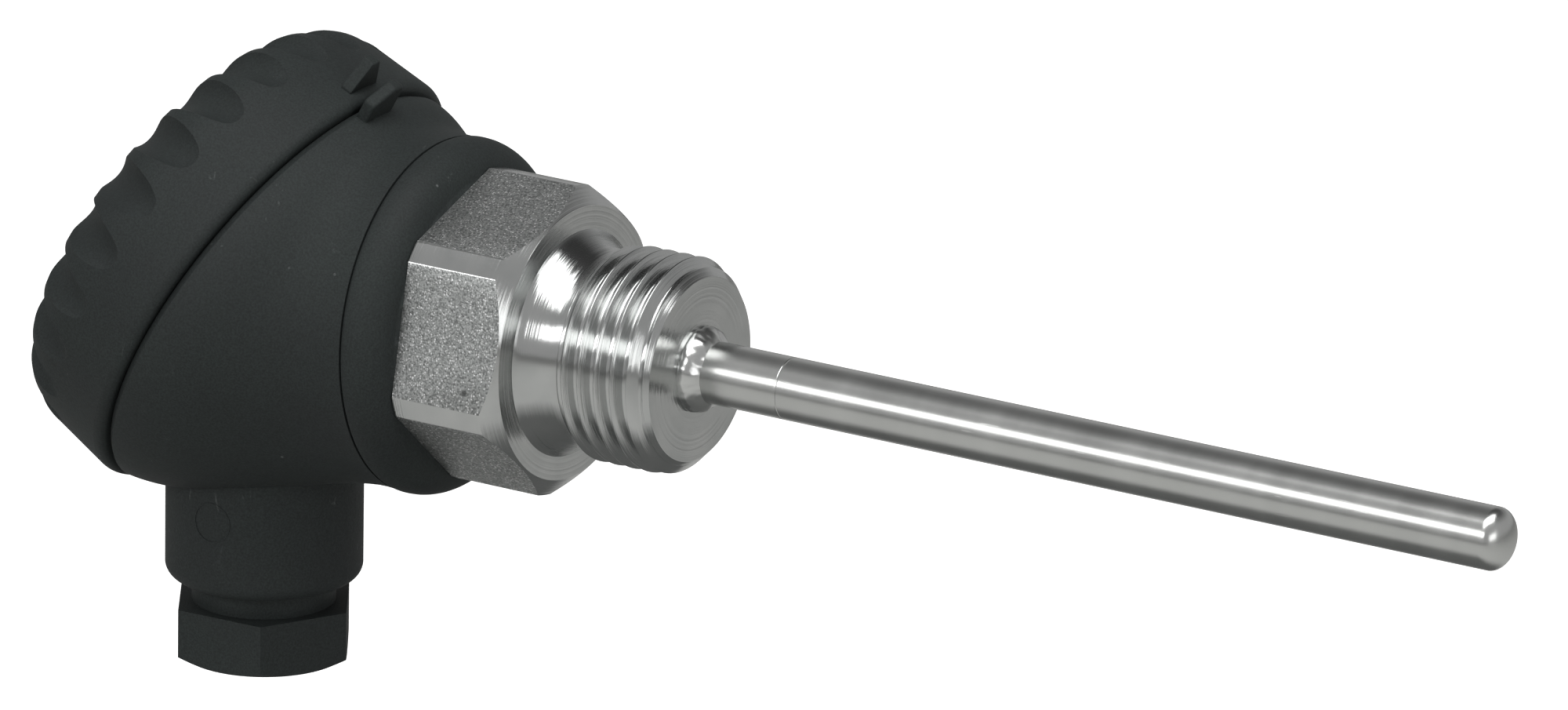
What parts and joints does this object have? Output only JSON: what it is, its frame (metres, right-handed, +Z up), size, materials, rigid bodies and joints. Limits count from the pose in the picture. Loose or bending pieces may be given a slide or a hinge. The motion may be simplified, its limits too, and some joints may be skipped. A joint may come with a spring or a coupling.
{
  "type": "resistance temperature probe with connection head",
  "caption": "Screw-in resistance thermometer: slim steel probe with a hexagon plug and pipe thread, moulded head with a tilted fluted screw cap and a cable gland.",
  "frame": {"origin": "middle of the plug's sealing face, on the probe's axis", "axes": "+X along the probe to its tip, +Z up, away from the cable gland; the screw cap faces back and up, in the XZ plane"},
  "size_m": [0.1573, 0.0478, 0.0623],
  "materials": {
    "black_plastic": "moulded charcoal-black plastic with a fine matt texture",
    "turned_stainless": "turned stainless steel, pickled hexagon flats",
    "polished_stainless": "drawn and polished stainless tube",
    "weld_metal": "bright weld bead",
    "black_rubber": "black nitrile rubber",
    "zinc_steel": "zinc-plated steel",
    "white_ceramic": "unglazed white ceramic",
    "terminal_brass": "machined brass",
    "nickel_wire": "bare nickel wire"
  },
  "bodies": {
    "probe": {"process_fitting": "turned_stainless", "sheath_tube": "polished_stainless", "weld_bead": "weld_metal", "end_plug": "polished_stainless", "rtd_element": "white_ceramic", "insulator_rod": "white_ceramic", "neck_ring": "black_plastic", "neck_seal": "black_rubber", "lock_washer": "zinc_steel", "lock_nut": "zinc_steel", "head_body": "black_plastic", "gland_seal": "black_rubber", "terminal_base": "white_ceramic", "base_screws": "zinc_steel", "terminal_1": "terminal_brass", "terminal_screw_1": "zinc_steel", "lead_1": "nickel_wire", "terminal_2": "terminal_brass", "terminal_screw_2": "zinc_steel", "lead_2": "nickel_wire", "terminal_3": "terminal_brass", "terminal_screw_3": "zinc_steel", "lead_3": "nickel_wire", "terminal_4": "terminal_brass", "terminal_screw_4": "zinc_steel", "lead_4": "nickel_wire"},
    "cap_lift_carrier": {"cap_seal": "black_rubber"},
    "cap": {"head_cap": "black_plastic"},
    "gland_lift_carrier": {"gland_washer": "zinc_steel"},
    "gland": {"gland_screw": "black_plastic"}
  },
  "joints": [
    {"name": "cap_lift", "type": "slide", "parent": "probe", "child": "cap_lift_carrier", "axis": [-0.8746, 0, 0.4848], "range_m": [0, 0.0075]},
    {"name": "cap_turn", "type": "hinge", "parent": "cap_lift_carrier", "child": "cap", "pos_m": [-0.0343, 0, -0.0005], "axis": [-0.8746, 0, 0.4848], "range_deg": [0, 900]},
    {"name": "gland_lift", "type": "slide", "parent": "probe", "child": "gland_lift_carrier", "axis": [0, 0, -1], "range_m": [0, 0.0054]},
    {"name": "gland_turn", "type": "hinge", "parent": "gland_lift_carrier", "child": "gland", "pos_m": [-0.0355, 0, 0], "axis": [0, 0, -1], "range_deg": [0, 1296]}
  ],
  "couplings": [
    {"joint": "cap_turn", "follows": "cap_lift", "rad_per_m": 2094.4},
    {"joint": "gland_turn", "follows": "gland_lift", "rad_per_m": 4188.8}
  ]
}
